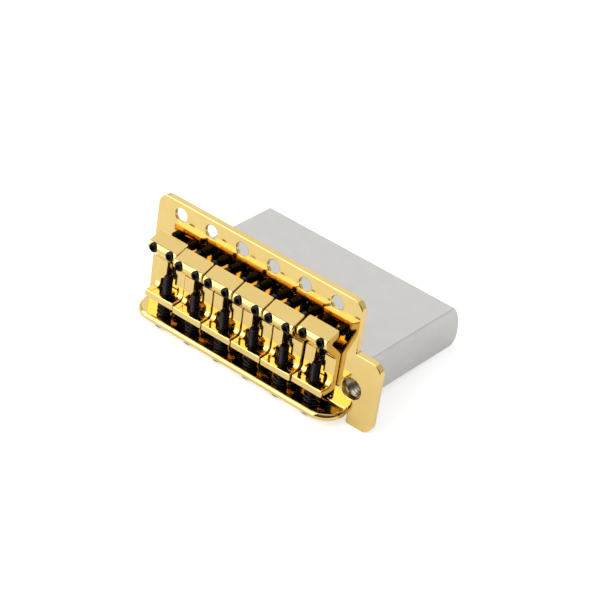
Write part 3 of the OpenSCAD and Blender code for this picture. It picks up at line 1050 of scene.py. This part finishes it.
def spring_tree() -> NodeTree:
    """Builds the tree: a wire swept along a spiral that closes up towards its ends."""
    floats = ("Turns", "Coil Radius", "Height", "Wire Radius", "Closing")
    tree, size = geometry_tree("coil_spring", *floats)
    spiral = add_node(
        tree, "GeometryNodeCurveSpiral",
        {
            "Resolution": 32, "Rotations": size["Turns"], "Start Radius": size["Coil Radius"],
            "End Radius": size["Coil Radius"], "Height": size["Height"],
        },
    )
    x, y, z = place_sockets(tree)
    eased = add_node(
        tree, "ShaderNodeMapRange",
        {"Value": z, "From Min": 0.0, "From Max": size["Height"], "To Min": 0.0, "To Max": size["Height"]},
        interpolation_type="SMOOTHSTEP",
    ).outputs[0]
    mixed = {"Factor": size["Closing"], "A": z, "B": eased}
    height = add_node(tree, "ShaderNodeMix", mixed, data_type="FLOAT").outputs[0]
    path = set_place(tree, spiral.outputs[0], (x, y, height))
    ring = {"Resolution": 14, "Radius": size["Wire Radius"]}
    wire = add_node(tree, "GeometryNodeCurvePrimitiveCircle", ring)
    swept = {"Curve": path, "Profile Curve": wire.outputs[0], "Fill Caps": True}
    end_tree(tree, add_node(tree, "GeometryNodeCurveToMesh", swept).outputs[0])
    return tree


def intonation_spring() -> Mesh:
    """Winds the compression spring round an intonation screw."""
    s = SPRING
    low = PLATE.flange_top + s.clearance + s.wire_radius
    high = SADDLE.back + ROW.break_z - s.clearance - s.wire_radius
    coil = grown(
        spring_tree(),
        {
            "Turns": s.turns, "Coil Radius": SCREW.tone_radius + s.clearance + s.wire_radius,
            "Height": high - low, "Wire Radius": s.wire_radius, "Closing": s.closing,
        },
    )
    return smooth(moved(coil, Matrix.Translation((0, -ROW.axis_height, low))), angle=60)


def saddle_row() -> list[Piece]:
    """Makes one of each kind and seats it at every string."""
    saddle, screw, spring = saddle_mesh(), intonation_screw(), intonation_spring()
    # The height screws differ only by the tilt of their saddle
    height = {ROW.tilt(n): height_screw(n) for n in (1, 2)}
    pieces: list[Piece] = []
    for n in range(1, ROW.strings + 1):
        seat = ROW.seat(n)
        saddle_node, screw_node = f"saddle_{n}", f"intonation_screw_{n}"
        ends = (PLATE.flange_top + SPRING.grip, SADDLE.back + ROW.break_z - SPRING.grip)
        start, end = (seat @ Vector((0, -ROW.axis_height, z)) for z in ends)
        bend = (saddle_node, start, end)
        pieces += [
            Piece(f"gold_{saddle_node}", saddle, GOLD, saddle_node, seat),
            Piece(f"cross_head_{screw_node}", screw, BLACK, screw_node, seat),
            Piece(f"coil_spring_{n}", spring, WIRE, f"intonation_spring_{n}", seat, bend),
        ]
        for side in Side:
            node = f"height_screw_{n}_{side.name.lower()}"
            x = side.value * SADDLE.screw_pitch / 2
            place = Matrix.Translation((x, -SADDLE.crown_height - SCREW.height_out, ROW.break_z))
            turned = seat @ (place @ ALONG_Y)
            pieces.append(Piece(f"socket_{node}", height[ROW.tilt(n)], BLACK, node, turned))
    return pieces


# Block, arm bush and block screws


def block_section() -> list[Vector]:
    """Section of the block in Y and Z, with its bulging far face."""
    s = BLOCK
    near, far = PLATE.thickness, PLATE.thickness + s.depth
    centre = Vector((far - s.far_radius, s.claw_z))
    start = math.asin((s.high - centre.y) / s.far_radius)
    bulge = [centre + s.far_radius * spoke(start * (1 - k / 14)) for k in range(15)]
    edge_centre = Vector((far - s.low_edge, s.low + s.low_edge))
    edge = [edge_centre + s.low_edge * spoke(-angle) for angle in quarter(10)]
    return [Vector((near, s.low)), Vector((near, s.high)), *bulge, *edge]


def inertia_block() -> Piece:
    """Casts the block, and bores it for the strings, the claw springs, the screws and the bush."""
    s = BLOCK
    near, far = PLATE.thickness, PLATE.thickness + s.depth
    seat = near + s.ball_seat
    cast = worked(prism(block_section(), 0, s.left, s.right), bevel_of(s.edge_round))
    cutters = []
    for n in range(1, ROW.strings + 1):
        cutters.append(rod_y(ROW.x(n), ROW.string_z, ROW.string_radius, near - CLEAR, seat + CLEAR, 32))
        cutters.append(rod_y(ROW.x(n), ROW.string_z, s.ball_radius, seat, far + CLEAR, 40))
    for k in range(s.claw_count):
        x = (k - (s.claw_count - 1) / 2) * s.claw_pitch
        cutters.append(rod_y(x, s.claw_z, s.claw_radius, far - s.claw_depth, far + CLEAR, 32))
    for x in SCREW_PLACES:
        radius = s.screw_radius + s.fit_gap
        cutters.append(rod_y(x, s.screw_z, radius, near - CLEAR, s.screw_length + CLEAR, 24))
    bush_end = near + ARM.bush_length + s.fit_gap
    cutters.append(rod_y(ARM.x, ARM.z, ARM.bush_radius + s.fit_gap, near - CLEAR, bush_end))
    mesh = smooth(worked(cast, cut_by(cutters)), angle=34)
    return Piece("satin_block", mesh, NICKEL, "inertia_block", body=FIXED_BODY)


def arm_bush() -> Piece:
    """Turns the bush and taps the arm's thread in it."""
    s = ARM
    wall, inset, far = s.bush_radius, s.bush_chamfer, s.bush_length
    blank = lathe(
        [(0, 0), (wall - inset, 0), (wall, inset), (wall, far - inset), (wall - inset, far), (0, far)], 64
    )
    radius, depth = s.thread_radius, s.thread_depth
    tap = thread(radius, far + 2 * CLEAR, s.thread_pitch, depth, (0.0, 0.0))
    mouth = cone((radius + depth, -depth), (radius - depth, depth))
    ring = worked(blank, cut_by([moved(tap, Matrix.Translation((0, 0, -CLEAR))), mouth]))
    place = Matrix.Translation((s.x, PLATE.thickness, s.z)) @ ALONG_Y
    mesh = smooth(moved(ring, place), angle=34)
    return Piece("threaded_arm_bush", mesh, STEEL, "arm_bush", body=FIXED_BODY)


def screw_row_tree() -> NodeTree:
    """Builds the tree: one screw at each of a row of equal steps."""
    tree, size = geometry_tree("screw_row", Screw="Object", Count="Int", Start="Vector", Step="Vector")
    line = {"Count": size["Count"], "Start Location": size["Start"], "Offset": size["Step"]}
    places = add_node(tree, "GeometryNodeMeshLine", line, mode="OFFSET")
    model = add_node(tree, "GeometryNodeObjectInfo", {"Object": size["Screw"]}, transform_space="ORIGINAL")
    copies = {"Points": places.outputs[0], "Instance": model.outputs["Geometry"]}
    row = add_node(tree, "GeometryNodeInstanceOnPoints", copies)
    end_tree(tree, row.outputs[0])
    return tree


def block_screws() -> Piece:
    """Cuts one of the countersunk screws that hold the block, and sets three in their row."""
    s = BLOCK
    sink = s.screw_head - s.screw_radius
    head = cone((s.screw_head, s.fit_gap), (s.screw_radius, s.fit_gap + sink))
    start = s.screw_head_length
    length = s.screw_length - start
    bar = thread(s.screw_radius, length, s.screw_pitch, s.thread_depth, s.screw_chamfers)
    whole = cross_head_screw(head, s.recess, bar, start)
    model = placed("screw_model", smooth(moved(whole, ALONG_Y), angle=40))
    first, second = SCREW_PLACES[:2]
    mesh = grown(
        screw_row_tree(),
        {
            "Screw": model, "Count": len(SCREW_PLACES), "Start": (first, 0.0, s.screw_z),
            "Step": (second - first, 0.0, 0.0),
        },
    )
    bpy.data.objects.remove(model)
    return Piece("countersunk_block_screws", mesh, BLACK, "block_screws", body=FIXED_BODY)


# Studio


@dataclass
class Studio:
    """Pale table, soft light and the photograph's camera, in millimetres and degrees."""

    floor_tilt: float = 5.985
    floor_drop: float = -34.5
    floor_half: float = 3000.0
    floor_grey: float = 0.74
    table_glow: float = 0.58
    mirrored_glow: float = 0.42
    camera_place: Triple = (308.57, -426.57, 328.02)
    right: Triple = (0.76561, 0.62935, 0.13330)
    down: Triple = (0.43331, -0.35133, -0.82995)
    ahead: Triple = (-0.47549, 0.69317, -0.54168)
    lens: float = 137.06
    sensor: float = 36.0
    room_way: Triple = (-0.6, 0.6, 0.6)
    room_fade: Pair = (-0.4, 0.2)
    room_light: Pair = (0.08, 0.7)

    def up(self) -> Vector:
        """The way up from the table, on which the bridge lies on its screw heads and its block."""
        tilt = math.radians(self.floor_tilt)
        return Vector((0.0, -math.sin(tilt), math.cos(tilt)))

    def add_camera(self) -> None:
        """Sets up the camera as it stood for the photograph."""
        data = bpy.data.cameras.new("camera")
        data.sensor_width = self.sensor
        data.lens = self.lens
        data.clip_start = 0.01
        camera = placed("camera", data)
        columns = [Vector(self.right), -Vector(self.down), -Vector(self.ahead)]
        turn = Matrix(columns).transposed().to_4x4()
        camera.matrix_world = Matrix.Translation(Vector(self.camera_place) * MM) @ turn
        bpy.context.scene.camera = camera

    def add_floor(self) -> None:
        """Lays the white table, which shows as white to the camera and in the metal, under its shadows."""
        material = bpy.data.materials.new("white_table")
        tree = cleared_tree(material)
        calc = partial(math_node, tree)
        paths = add_node(tree, "ShaderNodeLightPath").outputs
        in_metal = calc("MAXIMUM", paths["Is Glossy Ray"], paths["Is Transmission Ray"])
        mirrored = calc("MULTIPLY", in_metal, self.mirrored_glow)
        glow = calc("MULTIPLY_ADD", paths["Is Camera Ray"], self.table_glow, mirrored)
        matt = add_node(tree, "ShaderNodeBsdfDiffuse", {"Color": (*[self.floor_grey] * 3, 1.0)})
        light = add_node(tree, "ShaderNodeEmission", {"Color": WHITE, "Strength": glow})
        both = add_node(tree, "ShaderNodeAddShader", {0: matt.outputs[0], 1: light.outputs[0]})
        add_node(tree, "ShaderNodeOutputMaterial", {"Surface": both.outputs[0]})
        bm = bmesh.new()
        bmesh.ops.create_grid(bm, x_segments=1, y_segments=1, size=self.floor_half * MM)
        turn = self.up().to_track_quat("Z", "Y").to_matrix().to_4x4()
        bm.transform(Matrix.Translation(self.up() * self.floor_drop * MM) @ turn)
        floor = placed("table", to_mesh(bm, "table"))
        floor.data.materials.append(material)

    def add_lights(self) -> None:
        """Hangs the soft boxes and lights the room, which is darker at the front right."""
        world = bpy.data.worlds.new("room")
        tree = cleared_tree(world)
        way = add_node(tree, "ShaderNodeTexCoord").outputs["Generated"]
        side = add_node(tree, "ShaderNodeVectorMath", {0: way, 1: self.room_way}, operation="DOT_PRODUCT")
        light = add_node(
            tree, "ShaderNodeMapRange",
            {
                "Value": side.outputs["Value"], "From Min": self.room_fade[0], "From Max": self.room_fade[1],
                "To Min": self.room_light[0], "To Max": self.room_light[1],
            },
        )
        back = add_node(tree, "ShaderNodeBackground", {"Color": WHITE, "Strength": light.outputs["Result"]})
        add_node(tree, "ShaderNodeOutputWorld", {"Surface": back.outputs[0]})
        bpy.context.scene.world = world
        # Name, place and size in metres, and radiance
        boxes = (
            ("top_box", (-0.3, 0.45, 1.1), (1.6, 2.3), 0.43),
            ("window_box", (-0.69, -1.05, 0.5), (1.7, 1.65), 2.2),
        )
        for name, place, (width, height), radiance in boxes:
            data = bpy.data.lights.new(name, "AREA")
            data.shape = "RECTANGLE"
            data.size = width
            data.size_y = height
            data.energy = radiance * math.pi * width * height
            box = placed(name, data)
            box.location = place
            box.rotation_euler = (-Vector(place)).to_track_quat("-Z", "Y").to_euler()


def main() -> None:
    """Builds the bridge round its CAD frame, and the studio round the bridge."""
    logging.basicConfig(level=logging.INFO, format="%(name)s: %(message)s")
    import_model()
    bpy.context.scene.view_settings.view_transform = "Standard"
    studio = Studio()
    studio.add_camera()
    studio.add_floor()
    studio.add_lights()
    pieces = [base_plate(), inertia_block(), arm_bush(), block_screws(), *saddle_row()]
    for piece in pieces:
        piece.put()


if __name__ == "__main__":
    main()
